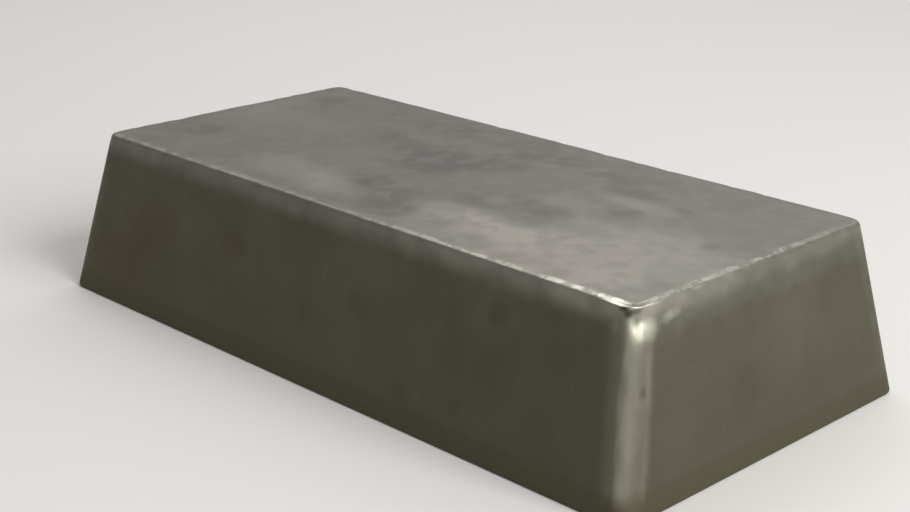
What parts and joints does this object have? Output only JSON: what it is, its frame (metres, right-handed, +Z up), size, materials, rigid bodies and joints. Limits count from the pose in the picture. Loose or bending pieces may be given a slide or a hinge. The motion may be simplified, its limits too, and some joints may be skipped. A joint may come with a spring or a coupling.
{
  "type": "iron ingot",
  "caption": "Tapered rectangular bar of cast iron with drafted sides and rounded edges, lying on its wide flat face; raw stock for remelting or forging.",
  "frame": {"origin": "centre of the wide face, on the floor", "axes": "+X along the length, +Y across the width, +Z up, from the wide face to the narrow one"},
  "size_m": [0.24, 0.123, 0.0525],
  "materials": {
    "cast_iron": "as-cast skin, dull olive grey, rubbed to bare grey iron on the narrow face and bright along its edges"
  },
  "bodies": {
    "root": {"ingot": "cast_iron"}
  },
  "joints": []
}
